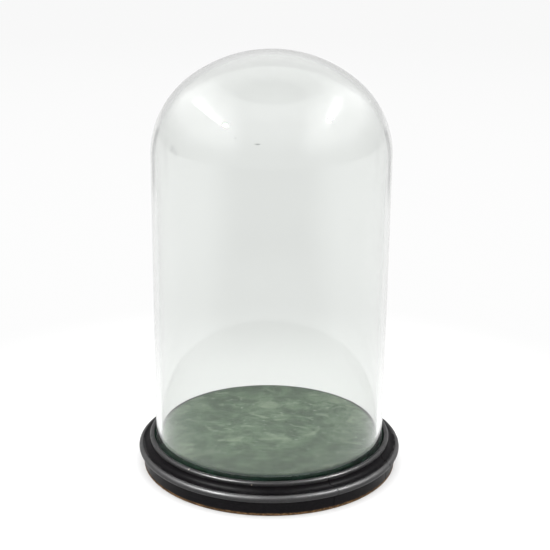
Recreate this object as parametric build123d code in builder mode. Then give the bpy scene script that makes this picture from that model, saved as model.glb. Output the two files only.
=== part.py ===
from build123d import *
from math import atan2, degrees, sqrt
import os

# Bell jar dome: a blown glass dome that stands loose in the groove of a turned wooden stand.
#
# Frame: millimetres, +Z up, origin on the stand's axis at the surface it rests on, -Y is the
# front. The stand is a disc of three edge-glued planks, turned as one. A raised floor board
# covered in green cloth is screwed on from below, and the dome's rim stands on a felt ring in
# the groove that the board and the stand's lip leave between them.

# ---- driving dimensions ----
overall_height = 396.0
glass_radius = 110.0
glass_wall = 5.0
cap_height = 94.5
haunch_radius = 86.0
rim_round = 1.2

floor_top = 33.0
floor_gap = 0.5
cloth_thickness = 0.8
felt_thickness = 1.5
felt_wall_thickness = 0.8
felt_wall_height = 4.8
felt_gap = 0.1
board_arris = 0.6

groove_floor = 22.8
groove_wall_radius = 111.7
plinth_radius = 122.3
plinth_arris = 0.7
torus_radius = 3.5
torus_centre_radius = 123.3
torus_centre_height = 17.3
cove_radius = 5.3
cove_top_radius = 116.6
bead_radius = 2.55
bead_centre_radius = 113.8
bead_centre_height = 27.1

joint_angle = -37.7
joint_offsets = (-49.0, 25.4)
plank_names = ("base_plank_front", "base_plank_middle", "base_plank_back")

screw_places = ((-39, -79), (39, -79), (-82, -12), (82, -12), (-39, 72), (39, 72))
screw_length = 28.6
screw_shank_radius = 2.0
screw_tip_radius = 0.5
screw_head_radius = 3.9
screw_slot_width = 1.1
screw_slot_depth = 1.2
screw_recess = 1.0
screw_clearance = 0.15
countersink_angle = 90.0

# ---- worked out ----
rim_height = groove_floor + felt_thickness
shoulder_height = overall_height - cap_height
glass_bore = glass_radius - glass_wall
cloth_radius = glass_bore - floor_gap
board_radius = cloth_radius - cloth_thickness
board_top = floor_top - cloth_thickness
head_depth = screw_head_radius - screw_shank_radius

# The planks' own directions: x runs along the glue joints, y across them.
joint_plane = Plane.XY.rotated((0, 0, joint_angle))
# The same directions seen from below, with z pointing down out of the stand.
underside = Plane(origin=(0, 0, 0), x_dir=joint_plane.x_dir, z_dir=(0, 0, -1))


# ---- glass dome: one blown shell, a straight wall closed by a flattened cap ----
# The cap's outline is a haunch arc tangent to the wall and a flatter crown arc tangent to that.
haunch_centre = glass_radius - haunch_radius
crown_radius = (haunch_centre**2 + cap_height**2 - haunch_radius**2) / (2 * (cap_height - haunch_radius))
crown_centre = overall_height - crown_radius
haunch_sweep = degrees(atan2(shoulder_height - crown_centre, haunch_centre))

with BuildPart() as glass_dome:
    with BuildSketch(Plane.XZ):
        with BuildLine():
            Line((glass_bore, rim_height), (glass_radius, rim_height))
            for inset in (0, glass_wall):
                Line((glass_radius - inset, rim_height), (glass_radius - inset, shoulder_height))
                CenterArc((haunch_centre, shoulder_height), haunch_radius - inset, 0, haunch_sweep)
                CenterArc((0, crown_centre), crown_radius - inset, haunch_sweep, 90 - haunch_sweep)
            Line((0, overall_height), (0, overall_height - glass_wall))
        make_face()
    revolve(axis=Axis.Z)
    fillet(glass_dome.edges().group_by(Axis.Z)[0], radius=rim_round)
glass_dome.part.label = "glass_dome"


# ---- stand: plinth face, torus, cove and bead around a recess that forms the groove ----
torus_foot = torus_centre_height - sqrt(torus_radius**2 - (torus_centre_radius - plinth_radius) ** 2)
torus_top = torus_centre_height + torus_radius
cove_top = torus_top + cove_radius
bead_foot = bead_centre_radius + sqrt(bead_radius**2 - (bead_centre_height - cove_top) ** 2)
bead_lip = bead_centre_height + sqrt(bead_radius**2 - (bead_centre_radius - groove_wall_radius) ** 2)
bead_top = bead_centre_height + bead_radius

with BuildPart() as stand:
    with BuildSketch(Plane.XZ):
        with BuildLine():
            Polyline((0, groove_floor), (0, 0), (plinth_radius, 0), (plinth_radius, torus_foot))
            ThreePointArc(
                (plinth_radius, torus_foot),
                (torus_centre_radius + torus_radius, torus_centre_height),
                (torus_centre_radius, torus_top),
            )
            Line((torus_centre_radius, torus_top), (cove_top_radius + cove_radius, torus_top))
            CenterArc(
                (cove_top_radius + cove_radius, cove_top), cove_radius, start_angle=180, arc_size=90
            )
            Line((cove_top_radius, cove_top), (bead_foot, cove_top))
            ThreePointArc(
                (bead_foot, cove_top),
                (bead_centre_radius, bead_top),
                (groove_wall_radius, bead_lip),
            )
            Polyline(
                (groove_wall_radius, bead_lip), (groove_wall_radius, groove_floor), (0, groove_floor)
            )
        make_face()
    revolve(axis=Axis.Z)
    chamfer(stand.edges().group_by(Axis.Z)[0], length=plinth_arris)


def joint_face(offset):
    """The plane of a glue joint, facing the back of the stand."""
    return Plane(
        origin=joint_plane.from_local_coords((0, offset, 0)),
        x_dir=joint_plane.x_dir,
        z_dir=joint_plane.y_dir,
    )


def make_plank(name, front_joint, back_joint):
    """One plank of the turned stand, between its glue joints, countersunk for its screws."""
    front = -plinth_radius if front_joint is None else front_joint
    back = plinth_radius if back_joint is None else back_joint
    own_screws = [(x, -y) for x, y in screw_places if front < y < back]
    with BuildPart() as plank:
        add(stand.part)
        if front_joint is not None:
            split(bisect_by=joint_face(front_joint), keep=Keep.TOP)
        if back_joint is not None:
            split(bisect_by=joint_face(back_joint), keep=Keep.BOTTOM)
        with Locations(underside):
            with Locations(*own_screws):
                CounterSinkHole(
                    radius=screw_shank_radius + screw_clearance,
                    counter_sink_radius=screw_head_radius + screw_clearance + screw_recess,
                    counter_sink_angle=countersink_angle,
                )
    plank.part.label = name
    return plank


joints = (None, *joint_offsets, None)
planks = [
    make_plank(name, front_joint, back_joint)
    for name, front_joint, back_joint in zip(plank_names, joints, joints[1:])
]


# ---- raised floor: the board that stands inside the dome, drilled for the screw tips ----
screw_tip_height = screw_recess + screw_length

with BuildPart() as raised_floor:
    with BuildSketch(Plane.XY.offset(groove_floor)):
        Circle(board_radius)
    extrude(amount=board_top - groove_floor)
    fillet(raised_floor.edges().group_by(Axis.Z)[-1], radius=board_arris)
    with BuildSketch(joint_plane.offset(groove_floor)):
        with Locations(*screw_places):
            Circle(screw_shank_radius + screw_clearance)
    extrude(amount=screw_tip_height - groove_floor + screw_clearance, mode=Mode.SUBTRACT)
raised_floor.part.label = "raised_floor"


# ---- green cloth: glued over the board's top and down its edge into the groove ----
with BuildPart() as floor_cloth:
    with BuildSketch(Plane.XY.offset(groove_floor)):
        Circle(cloth_radius)
    extrude(amount=floor_top - groove_floor)
    fillet(floor_cloth.edges().group_by(Axis.Z)[-1], radius=board_arris + cloth_thickness)
    with BuildSketch(Plane.XY.offset(groove_floor)):
        Circle(board_radius)
    extrude(amount=board_top - groove_floor, mode=Mode.SUBTRACT)
    inner_arris = floor_cloth.edges().filter_by(GeomType.CIRCLE).filter_by_position(
        Axis.Z, board_top - 0.1, board_top + 0.1
    )
    fillet(inner_arris, radius=board_arris)
floor_cloth.part.label = "floor_cloth"


# ---- felt strip in the groove: thick under the dome's rim, thin up the groove's outer wall ----
felt_outside = groove_wall_radius - felt_gap
felt_inside = cloth_radius + felt_gap

with BuildPart() as groove_felt:
    with BuildSketch(Plane.XZ):
        with BuildLine():
            Polyline(
                (felt_inside, groove_floor),
                (felt_outside, groove_floor),
                (felt_outside, groove_floor + felt_wall_height),
                (felt_outside - felt_wall_thickness, groove_floor + felt_wall_height),
                (felt_outside - felt_wall_thickness, rim_height),
                (felt_inside, rim_height),
                close=True,
            )
        make_face()
    revolve(axis=Axis.Z)
groove_felt.part.label = "groove_felt"


# ---- slotted countersunk screws, driven up through the planks into the raised floor ----
def make_screw():
    """One wood screw, head down on the XY plane, with its tip at the top."""
    shank_end = screw_length * 0.4
    with BuildPart() as screw:
        with BuildSketch(Plane.XZ):
            with BuildLine():
                Polyline(
                    (0, 0),
                    (screw_head_radius, 0),
                    (screw_shank_radius, head_depth),
                    (screw_shank_radius, shank_end),
                    (screw_tip_radius, screw_length),
                    (0, screw_length),
                    close=True,
                )
            make_face()
        revolve(axis=Axis.Z)
        with BuildSketch(Plane.XY):
            Rectangle(3 * screw_head_radius, screw_slot_width)
        extrude(amount=screw_slot_depth, mode=Mode.SUBTRACT)
    return screw


screw = make_screw()
with BuildPart() as floor_screws:
    with Locations(joint_plane.offset(screw_recess)):
        with Locations(*screw_places):
            add(screw.part)
floor_screws.part.label = "floor_screws"


# ---- written pieces ----
os.makedirs("parts", exist_ok=True)
for piece in (glass_dome, *planks, raised_floor, floor_cloth, groove_felt, floor_screws):
    export_step(piece.part, f"parts/{piece.part.label}.step")
    print(piece.part.label, round(piece.part.volume / 1000, 1), "cm3")
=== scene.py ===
import math
import random

import bmesh
import bpy
from mathutils import Matrix, Quaternion, Vector, noise


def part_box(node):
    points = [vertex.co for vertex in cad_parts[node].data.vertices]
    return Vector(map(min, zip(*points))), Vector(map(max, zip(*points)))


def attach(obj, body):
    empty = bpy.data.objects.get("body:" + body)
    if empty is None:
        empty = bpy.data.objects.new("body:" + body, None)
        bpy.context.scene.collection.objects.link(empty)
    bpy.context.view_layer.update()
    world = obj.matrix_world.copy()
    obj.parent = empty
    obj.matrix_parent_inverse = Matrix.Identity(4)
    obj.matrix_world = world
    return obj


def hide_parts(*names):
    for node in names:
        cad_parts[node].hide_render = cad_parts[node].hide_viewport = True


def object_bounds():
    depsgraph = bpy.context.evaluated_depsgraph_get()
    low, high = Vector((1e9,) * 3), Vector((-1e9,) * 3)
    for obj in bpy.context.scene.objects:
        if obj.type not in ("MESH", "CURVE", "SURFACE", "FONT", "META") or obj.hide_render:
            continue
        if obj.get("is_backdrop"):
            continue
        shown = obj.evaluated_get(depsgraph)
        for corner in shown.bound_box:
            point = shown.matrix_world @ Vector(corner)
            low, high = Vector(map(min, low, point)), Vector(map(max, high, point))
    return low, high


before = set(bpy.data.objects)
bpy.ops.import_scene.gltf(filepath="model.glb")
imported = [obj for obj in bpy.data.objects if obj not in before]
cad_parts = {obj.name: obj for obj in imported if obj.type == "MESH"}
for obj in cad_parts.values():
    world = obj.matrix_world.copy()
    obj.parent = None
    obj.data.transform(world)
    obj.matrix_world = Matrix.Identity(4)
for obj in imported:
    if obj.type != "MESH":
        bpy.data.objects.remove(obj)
cad_low, cad_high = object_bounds()

# A bell jar dome: a blown glass dome, standing in the groove of an ebonised stand that is turned
# from three glued planks, round a raised floor covered in green cloth. Metres, +Z up, -Y front.

MM = 0.001

# ---------------------------------------------------------------- sizes, from the CAD frame
glass_low, glass_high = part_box("glass_dome")
cloth_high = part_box("floor_cloth")[1]
board_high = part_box("raised_floor")[1]
felt_low, felt_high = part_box("groove_felt")

glass_radius = glass_high.x
rim_height = glass_low.z
apex_height = glass_high.z
floor_top = cloth_high.z
cloth_radius = cloth_high.x
board_radius = board_high.x
board_top = board_high.z
groove_floor = felt_low.z
felt_radius = felt_high.x

# The outlines of the dome and the stand keep the CAD part's numbers, which a box can't say.
# The dome's outline: a straight wall, a haunch arc and a flatter crown arc.
glass_wall = 5.0 * MM
cap_height = 94.5 * MM
haunch_radius = 86.0 * MM
rim_round = 1.2 * MM

# The stand's turned moulding, from the foot up: plinth face, torus, cove and bead.
groove_wall_radius = 111.7 * MM
plinth_radius = 122.3 * MM
plinth_arris = 0.7 * MM
torus_radius = 3.5 * MM
torus_centre = (123.3 * MM, 17.3 * MM)
cove_radius = 5.3 * MM
cove_top_radius = 116.6 * MM
bead_radius = 2.55 * MM
bead_centre = (113.8 * MM, 27.1 * MM)
board_arris = 0.6 * MM
cloth_thickness = floor_top - board_top

# The glue joints between the planks: their direction in plan, and each one's distance from the axis.
joint_angle = math.radians(-37.7)
joint_offsets = (-49.0 * MM, 25.4 * MM)
joint_gap = 0.26 * MM
joint_wear = 0.6 * MM
joint_sink = 0.45 * MM
along_joints = Vector((math.cos(joint_angle), math.sin(joint_angle), 0))
across_joints = Vector((-math.sin(joint_angle), math.cos(joint_angle), 0))

# Countersunk screw holes in the stand's underside, (along, across) the glue joints, in mm.
screw_plan = ((-39, -79), (39, -79), (-82, -12), (82, -12), (-39, 72), (39, 72))
screw_places = [(x * MM, y * MM) for x, y in screw_plan]
screw_hole_radius = 2.15 * MM
countersink_radius = 5.05 * MM

noise.seed_set(41)

# ---------------------------------------------------------------- mesh helpers
def arc(centre, radius, start, end, steps):
    """Points on an arc in the profile plane, (r, z), from start to end in degrees."""
    angles = [math.radians(start + (end - start) * i / steps) for i in range(steps + 1)]
    return [(centre[0] + radius * math.cos(a), centre[1] + radius * math.sin(a)) for a in angles]


def straight(a, b, steps):
    """Points on the straight line from a to b in the profile plane."""
    return [(a[0] + (b[0] - a[0]) * i / steps, a[1] + (b[1] - a[1]) * i / steps) for i in range(steps + 1)]


def outline(*runs):
    """Joins runs of profile points, leaving out a point that repeats the one before it."""
    points = []
    for run in runs:
        for point in run:
            if not points or math.dist(point, points[-1]) > 1e-7:
                points.append(point)
    return points


def revolved(profile, segments, push=None, closed=False):
    """A mesh turned round the Z axis from a profile that runs from the bottom up the outside.
    push(r, z, angle, normal) moves a point along the surface's outward normal, in metres."""
    mesh = bmesh.new()
    profile = list(profile)
    count = len(profile)
    normals = []
    for i, (r, z) in enumerate(profile):
        before = profile[i - 1] if closed or i else (r, z)
        after = profile[(i + 1) % count] if closed or i < count - 1 else (r, z)
        dr, dz = after[0] - before[0], after[1] - before[1]
        length = math.hypot(dr, dz) or 1.0
        normals.append((dz / length, -dr / length))
    rings = []
    for (r, z), (nr, nz) in zip(profile, normals):
        if r < 1e-7:
            rings.append([mesh.verts.new((0, 0, z))])
            continue
        ring = []
        for k in range(segments):
            angle = 2 * math.pi * k / segments
            out = push(r, z, angle, (nr, nz)) if push else 0.0
            radius, height = r + out * nr, z + out * nz
            ring.append(mesh.verts.new((radius * math.cos(angle), radius * math.sin(angle), height)))
        rings.append(ring)
    pairs = list(zip(rings, rings[1:])) + ([(rings[-1], rings[0])] if closed else [])
    for lower, upper in pairs:
        for k in range(segments):
            n = (k + 1) % segments
            corners = [ring[i % len(ring)] for ring, i in ((lower, k), (lower, n), (upper, n), (upper, k))]
            mesh.faces.new(list(dict.fromkeys(corners)))
    bmesh.ops.recalc_face_normals(mesh, faces=mesh.faces)
    return mesh


def finished(name, mesh, smooth_angle=40):
    """Turns a bmesh into an object, smooth but for edges sharper than smooth_angle."""
    data = bpy.data.meshes.new(name)
    for face in mesh.faces:
        face.smooth = True
    for edge in mesh.edges:
        if len(edge.link_faces) == 2 and edge.calc_face_angle(0) > math.radians(smooth_angle):
            edge.smooth = False
    mesh.to_mesh(data)
    mesh.free()
    piece = bpy.data.objects.new(name, data)
    bpy.context.scene.collection.objects.link(piece)
    return piece


def bearing_of(angle):
    """Degrees right of the front, from -180 to 180, of an angle in radians from +X."""
    return (math.degrees(angle) + 90 + 180) % 360 - 180


def near(r, z, angle, spots):
    """The sum of soft round spots at a point: each spot is (bearing, r, z, reach, size)."""
    total = 0.0
    bearing = bearing_of(angle)
    for spot_bearing, spot_r, spot_z, reach, size in spots:
        turn = math.radians((bearing - spot_bearing + 180) % 360 - 180)
        distance = math.hypot(turn * spot_r, r - spot_r, z - spot_z)
        if distance < 3 * reach:
            total += size * math.exp(-((distance / reach) ** 2))
    return total


# ---------------------------------------------------------------- material helpers
class Shader:
    """A new material, and short ways to add nodes to it."""

    def __init__(self, name, owner=None):
        self.owner = owner or bpy.data.materials.new(name)
        self.owner.use_nodes = True
        self.tree = self.owner.node_tree
        self.tree.nodes.clear()

    def add(self, kind, inputs=(), **settings):
        """One node. Inputs are values or other nodes' sockets, by name or number."""
        node = self.tree.nodes.new(kind)
        for name, value in settings.items():
            setattr(node, name, value)
        for key, value in dict(inputs).items():
            if isinstance(value, bpy.types.NodeSocket):
                self.tree.links.new(value, node.inputs[key])
            else:
                node.inputs[key].default_value = value
        return node

    def place(self, scale=(1, 1, 1), turn=0.0, shift=(0, 0, 0)):
        """Object coordinates turned about Z by turn, then stretched."""
        coords = self.add("ShaderNodeTexCoord").outputs["Object"]
        turned = self.add("ShaderNodeMapping", {0: coords, "Rotation": (0, 0, -turn), "Location": shift})
        return self.add("ShaderNodeMapping", {0: turned.outputs[0], "Scale": scale}).outputs[0]

    def noise(self, where, scale, detail=4.0, roughness=0.55, distortion=0.0):
        inputs = {
            "Vector": where, "Scale": scale, "Detail": detail,
            "Roughness": roughness, "Distortion": distortion,
        }
        return self.add("ShaderNodeTexNoise", inputs).outputs[0]

    def span(self, value, low, high, to_low=0.0, to_high=1.0, smooth=True):
        """Maps value from low..high to to_low..to_high, clamped."""
        kind = "SMOOTHSTEP" if smooth else "LINEAR"
        inputs = {"Value": value, "From Min": low, "From Max": high, "To Min": to_low, "To Max": to_high}
        return self.add("ShaderNodeMapRange", inputs, interpolation_type=kind).outputs[0]

    def math(self, operation, a, b=0.0):
        return self.add("ShaderNodeMath", {0: a, 1: b}, operation=operation).outputs[0]

    def mix(self, factor, a, b):
        """Colour a where factor is 0 and b where it is 1."""
        colours = [c if isinstance(c, bpy.types.NodeSocket) else (*c, 1.0) for c in (a, b)]
        inputs = {0: factor, 6: colours[0], 7: colours[1]}
        return self.add("ShaderNodeMix", inputs, data_type="RGBA").outputs[2]

    def bump(self, height, strength, distance, under=None):
        inputs = {"Height": height, "Strength": strength, "Distance": distance}
        if under:
            inputs["Normal"] = under
        return self.add("ShaderNodeBump", inputs).outputs[0]

    def surface(self, inputs):
        """A Principled shader joined to the material's output."""
        shader = self.add("ShaderNodeBsdfPrincipled", inputs)
        self.add("ShaderNodeOutputMaterial", {0: shader.outputs[0]})
        return self.owner


# ---------------------------------------------------------------- glass dome
shoulder_height = apex_height - cap_height
haunch_centre = glass_radius - haunch_radius
crown_radius = (haunch_centre**2 + cap_height**2 - haunch_radius**2) / (2 * (cap_height - haunch_radius))
crown_centre = apex_height - crown_radius
haunch_sweep = math.degrees(math.atan2(shoulder_height - crown_centre, haunch_centre))
glass_bore = glass_radius - glass_wall

# Seeds: air bubbles left in the blown wall. Each is a bearing, then a height, a size across and a
# size up the wall in mm. None is thicker than seed_thickness.
seeds = [
    (-6.5, 329, 5.0, 1.0), (-17, 333, 1.4, 0.8), (38, 262, 0.9, 0.6), (-61, 205, 1.1, 0.7),
    (12, 118, 0.8, 0.5), (74, 301, 1.3, 0.8), (121, 244, 1.1, 0.7), (165, 160, 0.9, 0.6),
    (-146, 288, 1.4, 0.8), (-104, 97, 1.0, 0.6), (52, 150, 0.8, 0.6),
]
seed_thickness = 0.9 * MM

# The blown faces' slow waviness, and how far above the rim it reaches its full size.
outside_ripple = 0.03 * MM
inside_ripple = 0.05 * MM
ripple_fade = 12 * MM

# A grey patch on the left shoulder, as spots for near().
grey_patch_spots = [(-53, 104 * MM, 317 * MM, 3.2 * MM, 1.0), (-50, 104 * MM, 314 * MM, 2.6 * MM, 0.7)]


def glass_push(r, z, angle, normal):
    """How far the blown wall wavers from true. Each face wavers in its own way, and not at the rim."""
    fade = min(1.0, max(0.0, (z - rim_height - 2 * rim_round) / ripple_fade))
    outside = normal[0] * r + normal[1] * max(0.0, z - shoulder_height) > 0
    # The inner face reads the noise from 3 m up, where it has nothing in common with the outer's.
    height = z if outside else 0.6 * z + 3.0
    at = Vector((r * math.cos(angle), r * math.sin(angle), height))
    if outside:
        return fade * outside_ripple * noise.noise(at * 10)
    return fade * inside_ripple * noise.noise(at * 9)


def cap_outline(inset, steps=54):
    """The cap's outline from the apex to the top of the wall, inset from the outer face."""
    crown = arc((0, crown_centre), crown_radius - inset, 90, haunch_sweep, steps)
    crown[0] = (0.0, crown[0][1])
    haunch = arc((haunch_centre, shoulder_height), haunch_radius - inset, haunch_sweep, 0, steps)
    return outline(crown, haunch)


def add_seed(mesh, bearing, height, across, up):
    """An air bubble in the middle of the wall, flattened and drawn out as the glass was blown."""
    angle = math.radians(bearing - 90)
    middle = glass_radius - glass_wall / 2
    if height > shoulder_height:
        rise = math.asin(min(1.0, (height - shoulder_height) / (haunch_radius - glass_wall / 2)))
        middle = haunch_centre + (haunch_radius - glass_wall / 2) * math.cos(rise)
    centre = Vector((middle * math.cos(angle), middle * math.sin(angle), height))
    sizes = Matrix.Diagonal((min(seed_thickness, across, up) / 2, across / 2, up / 2, 1))
    place = Matrix.Translation(centre) @ Matrix.Rotation(angle, 4, "Z") @ sizes
    bubble = bmesh.ops.create_icosphere(mesh, subdivisions=2, radius=1.0, matrix=place)
    faces = {face for vert in bubble["verts"] for face in vert.link_faces}
    bmesh.ops.reverse_faces(mesh, faces=list(faces))


wall_foot = rim_height + rim_round
glass_profile = outline(
    cap_outline(glass_wall),
    straight((glass_bore, shoulder_height), (glass_bore, wall_foot), 56),
    arc((glass_bore + rim_round, wall_foot), rim_round, 180, 270, 6),
    arc((glass_radius - rim_round, wall_foot), rim_round, -90, 0, 6),
    straight((glass_radius, wall_foot), (glass_radius, shoulder_height), 56),
    reversed(cap_outline(0.0)),
)

glass_mesh = revolved(glass_profile, segments=320, push=glass_push)
for bearing, *sizes in seeds:
    add_seed(glass_mesh, bearing, *(size * MM for size in sizes))
dome_shell = finished("dome_shell", glass_mesh, smooth_angle=60)
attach(dome_shell, "dome")
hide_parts("glass_dome")


# ---------------------------------------------------------------- turned stand
torus_drop = math.degrees(math.acos((plinth_radius - torus_centre[0]) / torus_radius))
torus_foot = torus_centre[1] - torus_radius * math.sin(math.radians(torus_drop))
torus_top = torus_centre[1] + torus_radius
cove_top = torus_top + cove_radius
bead_foot_angle = math.degrees(math.asin((cove_top - bead_centre[1]) / bead_radius))
bead_lip_angle = math.degrees(math.acos((groove_wall_radius - bead_centre[0]) / bead_radius))
bead_lip = bead_centre[1] + bead_radius * math.sin(math.radians(bead_lip_angle))

stand_profile = outline(
    straight((0, 0), (plinth_radius - plinth_arris, 0), 10),
    straight((plinth_radius, plinth_arris), (plinth_radius, torus_foot), 12),
    arc(torus_centre, torus_radius, -torus_drop, 90, 26),
    arc((cove_top_radius + cove_radius, cove_top), cove_radius, 270, 180, 20),
    arc(bead_centre, bead_radius, bead_foot_angle, bead_lip_angle, 26),
    straight((groove_wall_radius, bead_lip), (groove_wall_radius, groove_floor), 6),
    straight((groove_wall_radius, groove_floor), (0, groove_floor), 10),
)

# Knocks in the turned edge, and two chips through the black to pale wood, as spots for near().
bead_crest = bead_centre[1] + bead_radius
chips = [
    (-39, 115.2 * MM, 29.0 * MM, 0.8 * MM, 0.35 * MM),
    (-7.5, 116.4 * MM, 27.0 * MM, 0.7 * MM, 0.3 * MM),
]
dents = [
    (43, 115.5 * MM, 28.5 * MM, 1.1 * MM, 0.3 * MM),
    (-12, 114.6 * MM, bead_crest, 1.3 * MM, 0.2 * MM),
]
# The other knocks fall at random on the torus's and the bead's outer faces.
knock_count = 34
torus_share = 0.6
torus_face = (126.6 * MM, 18.6 * MM)
bead_face = (115.6 * MM, 28.6 * MM)
knocks = random.Random(7)
for _ in range(knock_count):
    spot_r, spot_z = torus_face if knocks.random() < torus_share else bead_face
    reach = knocks.uniform(0.7, 2.2) * MM
    dents.append((knocks.uniform(-180, 180), spot_r, spot_z, reach, reach * knocks.uniform(0.05, 0.16)))

# How far the old turning wavers, over a few centimetres and over a few millimetres.
long_waver = 0.08 * MM
short_waver = 0.045 * MM


def turned_push(r, z, angle, normal):
    """How far the turned, much handled surface stands off its true profile."""
    if r < groove_wall_radius - 0.1 * MM or z < 0.1 * MM:
        return 0.0
    at = Vector((r * math.cos(angle), r * math.sin(angle), z))
    uneven = long_waver * noise.noise(at * 26) + short_waver * noise.noise(at * 120)
    return uneven - near(r, z, angle, chips + dents)


def cut_plank(mesh, front_joint, back_joint):
    """Keeps what lies between two glue joints, with each joint's arris worn back a little."""
    for offset, side in ((front_joint, -1), (back_joint, 1)):
        if offset is None:
            continue
        face = offset - side * joint_gap / 2
        for place in (face - side * joint_wear, face):
            everything = [*mesh.verts, *mesh.edges, *mesh.faces]
            cut = bmesh.ops.bisect_plane(
                mesh, geom=everything, plane_co=across_joints * place, plane_no=across_joints * side,
                clear_outer=place == face,
            )
        mesh.normal_update()
        rim = [
            edge for edge in mesh.edges
            if edge.is_boundary and abs(edge.verts[0].co.dot(across_joints) - face) < 1e-6
        ]
        rim_verts = {vert: vert.normal.copy() for edge in rim for vert in edge.verts}
        worn = {vert: normal for vert, normal in rim_verts.items() if vert.co.xy.length > groove_wall_radius}
        for vert, normal in worn.items():
            along_face = normal - across_joints * normal.dot(across_joints)
            vert.co -= along_face.normalized() * joint_sink
        bmesh.ops.triangle_fill(mesh, edges=rim, use_beauty=True, use_dissolve=False)
    bmesh.ops.recalc_face_normals(mesh, faces=mesh.faces)


def screw_cutter(places):
    """The countersunk holes for a plank's own screws, as one mesh to be cut away."""
    mesh = bmesh.new()
    foot = 1 * MM
    depth = countersink_radius - screw_hole_radius
    top = groove_floor + foot
    countersink = [(0, -foot), (countersink_radius + foot, -foot), (screw_hole_radius, depth)]
    profile = [*countersink, (screw_hole_radius, top), (0, top)]
    for x, y in places:
        hole = revolved(profile, segments=40)
        hole.transform(Matrix.Translation(along_joints * x + across_joints * y))
        piece = bpy.data.meshes.new("hole")
        hole.to_mesh(piece)
        hole.free()
        mesh.from_mesh(piece)
    bmesh.ops.recalc_face_normals(mesh, faces=mesh.faces)
    return finished("screw_cutter", mesh)


def bored(piece, places):
    """Cuts the screw holes out of a piece."""
    cutter = screw_cutter(places)
    cut = piece.modifiers.new("holes", "BOOLEAN")
    cut.object = cutter
    cut.solver = "EXACT"
    bpy.context.view_layer.update()
    shape = bpy.data.meshes.new_from_object(piece.evaluated_get(bpy.context.evaluated_depsgraph_get()))
    piece.modifiers.clear()
    piece.data = shape
    bpy.data.objects.remove(cutter)


planks = []
joints = (None, *joint_offsets, None)
plank_names = ("plank_front", "plank_middle", "plank_back")
for name, front_joint, back_joint in zip(plank_names, joints, joints[1:]):
    mesh = revolved(stand_profile, segments=720, push=turned_push)
    cut_plank(mesh, front_joint, back_joint)
    plank = finished(name, mesh, smooth_angle=38)
    low = -1.0 if front_joint is None else front_joint
    high = 1.0 if back_joint is None else back_joint
    bored(plank, [place for place in screw_places if low < place[1] < high])
    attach(plank, "stand")
    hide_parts("base_" + name)
    planks.append(plank)


# ---------------------------------------------------------------- green cloth and felt
# A point of the cloth this near to the board is on its glued side.
glue_line = 0.1 * MM
nap_waver = 0.12 * MM
skirt_gather = 0.14 * MM


def cloth_push(r, z, angle, normal):
    """The nap's slight unevenness on top, and small gathers down the skirt, but none on the glued side."""
    if z <= board_top + glue_line and r <= board_radius + glue_line:
        return 0.0
    at = Vector((r * math.cos(angle), r * math.sin(angle), z))
    if z < board_top - 2 * board_arris:
        fall = (board_top - z) / (board_top - groove_floor)
        return skirt_gather * fall * noise.noise(Vector((at.x, at.y, 0)) * 260)
    return nap_waver * noise.noise(at * 30)


cloth_arris = board_arris + cloth_thickness
cloth_profile = outline(
    straight((0, floor_top), (cloth_radius - cloth_arris, floor_top), 46),
    arc((cloth_radius - cloth_arris, floor_top - cloth_arris), cloth_arris, 90, 0, 8),
    straight((cloth_radius, floor_top - cloth_arris), (cloth_radius, groove_floor), 8),
    straight((board_radius, groove_floor), (board_radius, board_top - board_arris), 2),
    arc((board_radius - board_arris, board_top - board_arris), board_arris, 0, 90, 5),
    straight((board_radius - board_arris, board_top), (0, board_top), 3),
)

cloth_mesh = revolved(reversed(cloth_profile), segments=300, push=cloth_push)
cloth_cap = finished("cloth_cap", cloth_mesh, smooth_angle=50)
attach(cloth_cap, "stand")
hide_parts("floor_cloth")

felt_wall = 0.8 * MM
felt_inside = cloth_radius + 0.1 * MM
felt_top = felt_high.z
felt_seat = rim_height - 0.03 * MM
felt_profile = outline(
    straight((felt_inside, groove_floor), (felt_radius, groove_floor), 5),
    straight((felt_radius, groove_floor), (felt_radius, felt_top), 6),
    straight((felt_radius, felt_top), (felt_radius - felt_wall, felt_top), 2),
    straight((felt_radius - felt_wall, felt_top), (felt_radius - felt_wall, felt_seat), 4),
    straight((felt_radius - felt_wall, felt_seat), (felt_inside, felt_seat), 5),
    straight((felt_inside, felt_seat), (felt_inside, groove_floor), 2)[:-1],
)


def felt_push(r, z, angle, normal):
    """The felt's soft, slightly uneven free edges."""
    at = Vector((r * math.cos(angle), r * math.sin(angle), z))
    free = z > rim_height + 1 * MM
    return (0.10 if free else 0.02) * MM * (noise.noise(at * 300) - 0.6)


felt_mesh = revolved(felt_profile, segments=360, push=felt_push, closed=True)
felt_strip = finished("felt_strip", felt_mesh, smooth_angle=60)
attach(felt_strip, "stand")
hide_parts("groove_felt")


# ---------------------------------------------------------------- materials
def glass_material():
    """Clear glass with a faint grey-green cast, old smears that barely dull it and a grey patch."""
    shader = Shader("blown_glass")
    smears = shader.noise(shader.place((1, 1, 0.35)), 45, 5, 0.6, 0.4)
    grey_patch = shader.add("ShaderNodeAttribute", attribute_name="grey_patch").outputs["Fac"]
    return shader.surface({
        "Base Color": shader.mix(grey_patch, (0.872, 0.885, 0.873), (0.66, 0.67, 0.67)),
        "Roughness": shader.span(smears, 0.5, 0.8, 0.0, 0.015),
        "IOR": 1.5,
        "Transmission Weight": 1.0,
        "Sheen Weight": 0.1,
        "Sheen Roughness": 0.3,
    })


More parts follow.
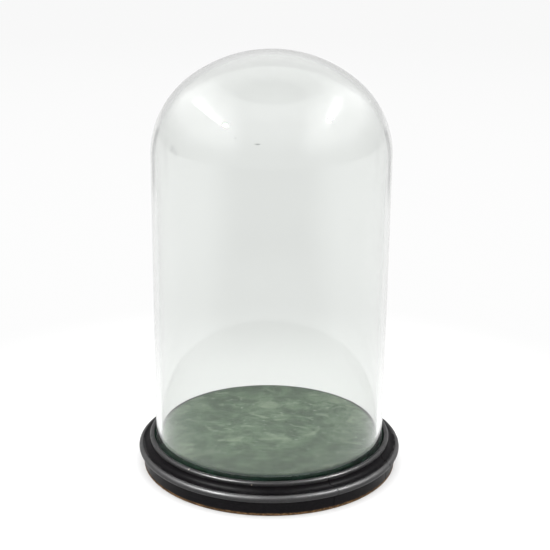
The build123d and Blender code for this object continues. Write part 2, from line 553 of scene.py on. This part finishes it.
def ebonised_material(name, gloss, roughness):
    """Black-stained wood: pores along the planks, rubbed grey on the crests, and bare brown wood
    where the stain stops short of the foot. Gloss is the specular level, 0.5 for a full polish."""
    shader = Shader(name)
    fibres = shader.noise(shader.place((1, 14, 14), joint_angle), 45, 4, 0.55)
    pores = shader.noise(shader.place((1, 9, 9), joint_angle), 240, 3, 0.5)
    cloudy = shader.noise(shader.place(), 70, 4)
    scuffs = shader.noise(shader.place(), 420, 5, 0.7, 0.3)
    rub = shader.add("ShaderNodeAttribute", attribute_name="rub").outputs["Fac"]
    crack = shader.add("ShaderNodeAttribute", attribute_name="crack").outputs["Fac"]
    chip = shader.add("ShaderNodeAttribute", attribute_name="chip").outputs["Fac"]
    worn = shader.math("MULTIPLY", rub, shader.span(scuffs, 0.36, 0.66))

    black = shader.mix(shader.span(fibres, 0.35, 0.7), (0.0012, 0.0009, 0.0015), (0.0050, 0.0040, 0.0048))
    greyed = shader.mix(worn, black, (0.016, 0.015, 0.016))
    pale = shader.mix(shader.span(fibres, 0.4, 0.7), (0.12, 0.10, 0.08), (0.30, 0.27, 0.23))
    chipped = shader.mix(shader.span(shader.math("ADD", chip, scuffs), 1.0, 1.2), greyed, pale)
    marked = shader.mix(shader.span(crack, 0.3, 0.7), chipped, (0.0015, 0.0015, 0.0015))

    height = shader.add("ShaderNodeSeparateXYZ", {0: shader.place()}).outputs[2]
    edge = shader.math("ADD", height, shader.math("MULTIPLY", cloudy, 1.6 * MM))
    stained = shader.span(edge, 2.5 * MM, 4.2 * MM)
    brown = shader.mix(shader.span(fibres, 0.38, 0.68), (0.050, 0.027, 0.010), (0.19, 0.110, 0.052))
    colour = shader.mix(stained, brown, marked)

    polish = shader.span(cloudy, 0.3, 0.7, roughness - 0.06, roughness + 0.06)
    dulled = shader.math("ADD", polish, shader.math("MULTIPLY", worn, 0.06))
    bare = shader.math("MULTIPLY", shader.math("SUBTRACT", 1.0, stained), 0.4)
    relief = shader.bump(fibres, 0.06, 0.06 * MM, shader.bump(pores, 0.06, 0.03 * MM))
    return shader.surface({
        "Base Color": colour,
        "Roughness": shader.math("ADD", dulled, bare),
        "Specular IOR Level": gloss,
        "Normal": relief,
    })


def cloth_material():
    """Green baize with a short brushed nap: mottled, with paler streaks where it has been rubbed,
    and duller along the front. Its skirt down in the groove has painted shade."""
    shader = Shader("green_baize")
    mottle = shader.noise(shader.place((1, 1.2, 1), math.radians(12)), 52, 4, 0.6, 0.3)
    streaks = shader.noise(shader.place((1, 1.5, 1), math.radians(6)), 42, 2, 0.45, 0.7)
    cross = shader.noise(shader.place((1, 2.0, 1), math.radians(-30), (0.3, 0.1, 0)), 64, 2, 0.45, 0.6)
    nap = shader.noise(shader.place(), 1500, 4, 0.7)
    lint = shader.noise(shader.place((1, 1.6, 1), math.radians(15), (0.7, 0, 0)), 210, 1, 0.3)
    deep = shader.mix(shader.span(mottle, 0.4, 0.62), (0.037, 0.063, 0.037), (0.090, 0.127, 0.083))
    streaked = shader.mix(shader.span(streaks, 0.55, 0.72, 0, 0.9), deep, (0.160, 0.203, 0.140))
    rubbed = shader.mix(shader.span(cross, 0.57, 0.72, 0, 0.8), streaked, (0.152, 0.195, 0.136))
    fibrous = shader.mix(shader.span(nap, 0.35, 0.65, 0, 0.22), rubbed, (0.040, 0.070, 0.036))
    linted = shader.mix(shader.span(lint, 0.71, 0.75, 0, 0.8), fibrous, (0.30, 0.34, 0.28))
    parts = shader.add("ShaderNodeSeparateXYZ", {0: shader.place()})
    # Darker towards the front edge of the cloth.
    darker_to_front = shader.span(parts.outputs[1], -0.035, -0.085, 0, 0.5)
    dulled = shader.mix(darker_to_front, linted, (0.034, 0.050, 0.033))
    # Painted shade: the skirt down in the groove is painted dark green for the shade that falls there.
    skirt_painted_shade = shader.span(parts.outputs[2], floor_top - 0.3 * MM, floor_top - 1.2 * MM)
    colour = shader.mix(skirt_painted_shade, dulled, (0.010, 0.026, 0.018))
    folds = shader.bump(mottle, 0.15, 0.3 * MM)
    return shader.surface({
        "Base Color": colour,
        "Roughness": shader.span(nap, 0.3, 0.7, 0.85, 1.0),
        "Specular IOR Level": 0.1,
        "Sheen Weight": 0.06,
        "Sheen Roughness": 0.5,
        "Sheen Tint": (0.75, 0.9, 0.75, 1),
        "Normal": shader.bump(nap, 0.35, 0.15 * MM, folds),
    })


def felt_material():
    """Dark green pressed felt, fibrous and matt, its greens painted nearly black for the shade in the groove.
    """
    shader = Shader("green_felt")
    fibres = shader.noise(shader.place(), 1100, 6, 0.75, 0.8)
    patches = shader.noise(shader.place(), 90, 3)
    # Painted shade: both greens are nearly black for the shade between the glass and the bead.
    base = shader.mix(shader.span(patches, 0.3, 0.7), (0.0025, 0.010, 0.006), (0.005, 0.018, 0.011))
    return shader.surface({
        "Base Color": shader.mix(shader.span(fibres, 0.4, 0.7, 0, 0.6), base, (0.010, 0.030, 0.019)),
        "Roughness": shader.span(fibres, 0.3, 0.7, 0.88, 1.0),
        "Specular IOR Level": 0.05,
        "Normal": shader.bump(fibres, 0.8, 0.3 * MM),
    })


def board_material():
    """Planed bare deal, with growth rings as wavy bands."""
    shader = Shader("bare_deal")
    place = shader.place((1, 1, 1), joint_angle, (0, 0.35, 0))
    inputs = {"Vector": place, "Scale": 26, "Distortion": 2.5, "Detail": 3, "Detail Scale": 0.6}
    rings = shader.add("ShaderNodeTexWave", inputs, bands_direction="Y").outputs[1]
    fibres = shader.noise(shader.place((1, 18, 18), joint_angle), 60, 6, 0.6)
    growth = shader.mix(rings, (0.50, 0.335, 0.185), (0.37, 0.215, 0.105))
    return shader.surface({
        "Base Color": shader.mix(shader.span(fibres, 0.4, 0.75, 0, 0.5), growth, (0.28, 0.165, 0.08)),
        "Roughness": shader.span(fibres, 0.3, 0.7, 0.5, 0.72),
        "Normal": shader.bump(fibres, 0.4, 0.15 * MM),
    })


def steel_material():
    """Old bright steel wood screws, dulled and spotted with rust."""
    shader = Shader("screw_steel")
    spots = shader.noise(shader.place(), 900, 5, 0.65)
    brushed = shader.noise(shader.place((1, 1, 6)), 2200, 3)
    rust = shader.span(spots, 0.52, 0.66)
    rough_rust = shader.math("MULTIPLY", rust, 0.35)
    return shader.surface({
        "Base Color": shader.mix(rust, (0.42, 0.41, 0.39), (0.16, 0.075, 0.035)),
        "Metallic": shader.span(spots, 0.66, 0.52, 0.25, 1.0),
        "Roughness": shader.math("ADD", shader.span(brushed, 0.3, 0.7, 0.28, 0.45), rough_rust),
        "Normal": shader.bump(brushed, 0.2, 0.03 * MM),
    })


def give(piece, material):
    """Puts one material on the whole of a piece or a CAD node."""
    if piece.data.materials:
        for i in range(len(piece.data.materials)):
            piece.data.materials[i] = material
    else:
        piece.data.materials.append(material)


def paint(piece, name, value_at):
    """A number for each point of a piece, for its material to read: value_at(r, z, angle, point)."""
    layer = piece.data.attributes.new(name, "FLOAT", "POINT")
    values = []
    for vert in piece.data.vertices:
        r = vert.co.xy.length
        values.append(value_at(r, vert.co.z, math.atan2(vert.co.y, vert.co.x), vert.co))
    layer.data.foreach_set("value", values)


def rubbed(r, z, angle, point):
    """How much handling reaches: the bead and the torus, most of all on its top, and hardly the cove."""
    if r < groove_wall_radius - 0.5 * MM:
        return 0.0
    if z > cove_top - 0.3 * MM:
        return 0.5
    if z < torus_top + 0.2 * MM and r > torus_centre[0] - 0.5 * MM:
        return 0.45 + 0.25 * max(0.0, (z - torus_centre[1]) / torus_radius)
    return 0.05


def cracked(r, z, angle, point):
    """1 on the glue joints, where the stain has sunk in and dirt has gathered."""
    across = point.dot(across_joints)
    gap = min(abs(across - offset) for offset in joint_offsets)
    return 1.0 if gap < 0.6 * joint_wear else 0.0


def grey_patch_at(r, z, angle, point):
    """1 at the heart of the grey patch, fading round it."""
    return min(1.0, near(r, z, angle, grey_patch_spots))


def chipped(r, z, angle, point):
    """1 in the chips, where the pale wood shows, fading round them."""
    return min(1.0, 2.5 * near(r, z, angle, [(*spot[:4], 1.0) for spot in chips]))


# The planks' finishes, each with its number among a plank's materials.
torus_finish, plain_finish, cove_finish, bead_finish = range(4)
plank_finishes = [
    ebonised_material("ebonised_polished", 0.4, 0.47),
    ebonised_material("ebonised_satin", 0.08, 0.36),
    ebonised_material("ebonised_dull", 0.03, 0.45),
    ebonised_material("ebonised_crest", 0.3, 0.36),
]


def finish_at(r, z):
    """The finish that a plank has at a point: handling polishes the bead and the torus."""
    if r > groove_wall_radius + 0.05 * MM and z > cove_top:
        return bead_finish
    if r > torus_centre[0] - 0.5 * MM and torus_foot < z < torus_top + 0.1 * MM:
        return torus_finish
    if z > torus_top and r > groove_wall_radius:
        return cove_finish
    return plain_finish


for plank in planks:
    paint(plank, "rub", rubbed)
    paint(plank, "crack", cracked)
    paint(plank, "chip", chipped)
    give(plank, plank_finishes[0])
    for finish in plank_finishes[1:]:
        plank.data.materials.append(finish)
    for face in plank.data.polygons:
        face.material_index = finish_at(face.center.xy.length, face.center.z)
paint(dome_shell, "grey_patch", grey_patch_at)
give(dome_shell, glass_material())
give(cloth_cap, cloth_material())
give(felt_strip, felt_material())
give(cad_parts["raised_floor"], board_material())
give(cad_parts["floor_screws"], steel_material())


# ---------------------------------------------------------------- studio
def floor_material():
    """Pale matt paper under the stand that runs out into a bright sweep which glows: painted light, not
    lamplight, so the stand's shadow on it stops close to the foot. The glow is painted brighter near the
    stand; away from it the sweep is brightest at the sides, and dimmest in front, where the camera stands."""
    shader = Shader("pale_paper")
    coords = shader.add("ShaderNodeTexCoord").outputs["Object"]
    away = shader.add("ShaderNodeVectorMath", {0: coords}, operation="LENGTH").outputs["Value"]
    depth = shader.add("ShaderNodeSeparateXYZ", {0: coords}).outputs[1]
    towards_back = shader.math("DIVIDE", depth, away)

    even = shader.span(away, 0.6, 5.0, 0.98, 0.94)
    # Painted glow near the stand, brightening the paper just round it.
    nearby = shader.span(away, 0.19, 0.5, 0.22, 0)
    at_sides = shader.span(towards_back, 0.7, 0.1, 0, 0.4)
    sides = shader.math("MULTIPLY", at_sides, shader.span(away, 0.35, 0.9))
    in_front = shader.span(towards_back, -0.4, -0.9, 0, -0.58)
    front = shader.math("MULTIPLY", in_front, shader.span(away, 0.36, 0.62))
    # A dim band about 30 degrees off the back, which the glass's inner edge picks up as a dark line.
    from_band = shader.math("ABSOLUTE", shader.math("SUBTRACT", towards_back, 0.845))
    band = shader.math("MULTIPLY", shader.span(from_band, 0.05, 0.02, 0, -0.4), shader.span(away, 1.05, 1.4))
    glow = even
    for part in (nearby, sides, front, band):
        glow = shader.math("ADD", glow, part)

    matt = shader.add("ShaderNodeBsdfDiffuse", {"Color": (0.78, 0.78, 0.78, 1)}).outputs[0]
    painted_glow = shader.add("ShaderNodeEmission", {"Color": (1, 1, 1, 1), "Strength": glow}).outputs[0]
    # The paper gives way to the glow from 11 to 16 cm off the axis, which paints out the stand's shadow
    # beyond its foot.
    both = shader.add("ShaderNodeMixShader", {0: shader.span(away, 0.110, 0.160), 1: matt, 2: painted_glow})
    shader.add("ShaderNodeOutputMaterial", {0: both.outputs[0]})
    return shader.owner


floor_level = -0.05 * MM
floor = finished("floor", revolved([(radius, floor_level) for radius in (0, 0.6, 4, 30)], segments=96))
give(floor, floor_material())
floor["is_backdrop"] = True


def sky(stops, front, back, sides):
    """The room's light: its share of full brightness against the sine of the height above the
    horizon, and full brightness in front of the object and behind it. Sides is what it gains to
    the left and right, well above the horizon."""
    world = bpy.data.worlds.new("room")
    bpy.context.scene.world = world
    shader = Shader("room", world)
    direction = shader.add("ShaderNodeTexCoord").outputs["Generated"]
    parts = shader.add("ShaderNodeSeparateXYZ", {0: direction})
    ramp = shader.add("ShaderNodeValToRGB", {0: parts.outputs[2]})
    elements = ramp.color_ramp.elements
    while len(elements) < len(stops):
        elements.new(1.0)
    for element, (place, share) in zip(elements, stops):
        element.position = place
        element.color = (share, share, share, 1)
    strength = shader.span(parts.outputs[1], -0.5, 0.5, front, back)
    to_side = shader.span(shader.math("ABSOLUTE", parts.outputs[0]), 0.35, 0.65, 0, sides)
    raised = shader.math("MULTIPLY", to_side, shader.span(parts.outputs[2], 0.1, 0.45))
    strength = shader.math("ADD", strength, raised)
    light = shader.add("ShaderNodeBackground", {0: ramp.outputs[0], 1: strength})
    shader.add("ShaderNodeOutputWorld", {0: light.outputs[0]})


sky([(0.0, 0.5), (0.3, 0.52), (0.65, 0.82), (1.0, 1.0)], front=2.05, back=1.55, sides=1.5)


def soft_light(name, place, target, size, power, roll=0.0, rise=0.2, fall=0.5, ends=0.36):
    """A rectangular softbox, size (across, high), that faces the target. It is full from rise up to
    fall of its height and, across, as far as ends from its middle, and fades beyond them. Roll tips
    its long side, in degrees."""
    lamp = bpy.data.lights.new(name, "AREA")
    lamp.shape = "RECTANGLE"
    lamp.size, lamp.size_y = size
    lamp.energy = power
    shader = Shader(name, lamp)
    sheet = shader.add("ShaderNodeNewGeometry").outputs["Parametric"]
    parts = shader.add("ShaderNodeSeparateXYZ", {0: sheet})
    from_middle = shader.math("ABSOLUTE", shader.math("SUBTRACT", parts.outputs[0], 0.5))
    up = parts.outputs[1]
    fades = shader.math("MULTIPLY", shader.span(up, 0.0, rise), shader.span(up, 1.0, fall))
    across = shader.span(from_middle, 0.5, ends)
    gentle = shader.math("POWER", fades, 3.0)
    glow = shader.add("ShaderNodeEmission", {1: shader.math("MULTIPLY", across, gentle)})
    shader.add("ShaderNodeOutputLight", {0: glow.outputs[0]})
    light = bpy.data.objects.new(name, lamp)
    light.location = place
    light.rotation_mode = "QUATERNION"
    facing = (Vector(target) - Vector(place)).to_track_quat("-Z", "Y")
    light.rotation_quaternion = facing @ Quaternion((0, 0, 1), math.radians(roll))
    light.visible_camera = False
    light.visible_diffuse = False
    bpy.context.scene.collection.objects.link(light)


# Two large softboxes for the cap's broad reflections, and two small lamps for the polished wood's.
at_cap = (0, 0, 0.3)
at_stand = (0, 0, 0.15)
lamp_size = (0.09, 0.09)
soft_light("left_softbox", (-1.2, 0.05, 1.65), at_cap, (1.9, 0.5), 11, roll=7, rise=0.03, fall=0.06, ends=0.2)
soft_light("right_softbox", (1.2, 0.0, 1.55), at_cap, (1.8, 0.6), 10, roll=8, rise=0.45, fall=0.5, ends=0.0)
soft_light("left_key", (-1.00, -0.72, 1.38), at_stand, lamp_size, 320)
soft_light("right_key", (1.18, -0.36, 1.42), at_stand, lamp_size, 230)

# The camera looks down on the dome from in front, from about nine glass radii away.
camera_distance = 9.418 * glass_radius
camera_height = floor_top + 4.2385 * glass_radius
camera_pitch = math.radians(16.80)
camera_yaw = math.radians(0.23)
camera_roll = math.radians(0.55)
lens = bpy.data.cameras.new("camera")
lens.sensor_width = 36
lens.lens = 75.27
camera = bpy.data.objects.new("camera", lens)
aim = Matrix.Rotation(-camera_yaw, 4, "Z") @ Matrix.Rotation(math.pi / 2 - camera_pitch, 4, "X")
tilt = Matrix.Rotation(camera_roll, 4, "Z")
camera.matrix_world = Matrix.Translation((0, -camera_distance, camera_height)) @ aim @ tilt
bpy.context.scene.collection.objects.link(camera)
bpy.context.scene.camera = camera
bpy.context.scene.view_settings.view_transform = "Standard"

# ---------------------------------------------------------------- sizes, for comparison
low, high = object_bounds()
sizes = {"cad": [list(cad_low), list(cad_high)], "visual": [list(low), list(high)]}
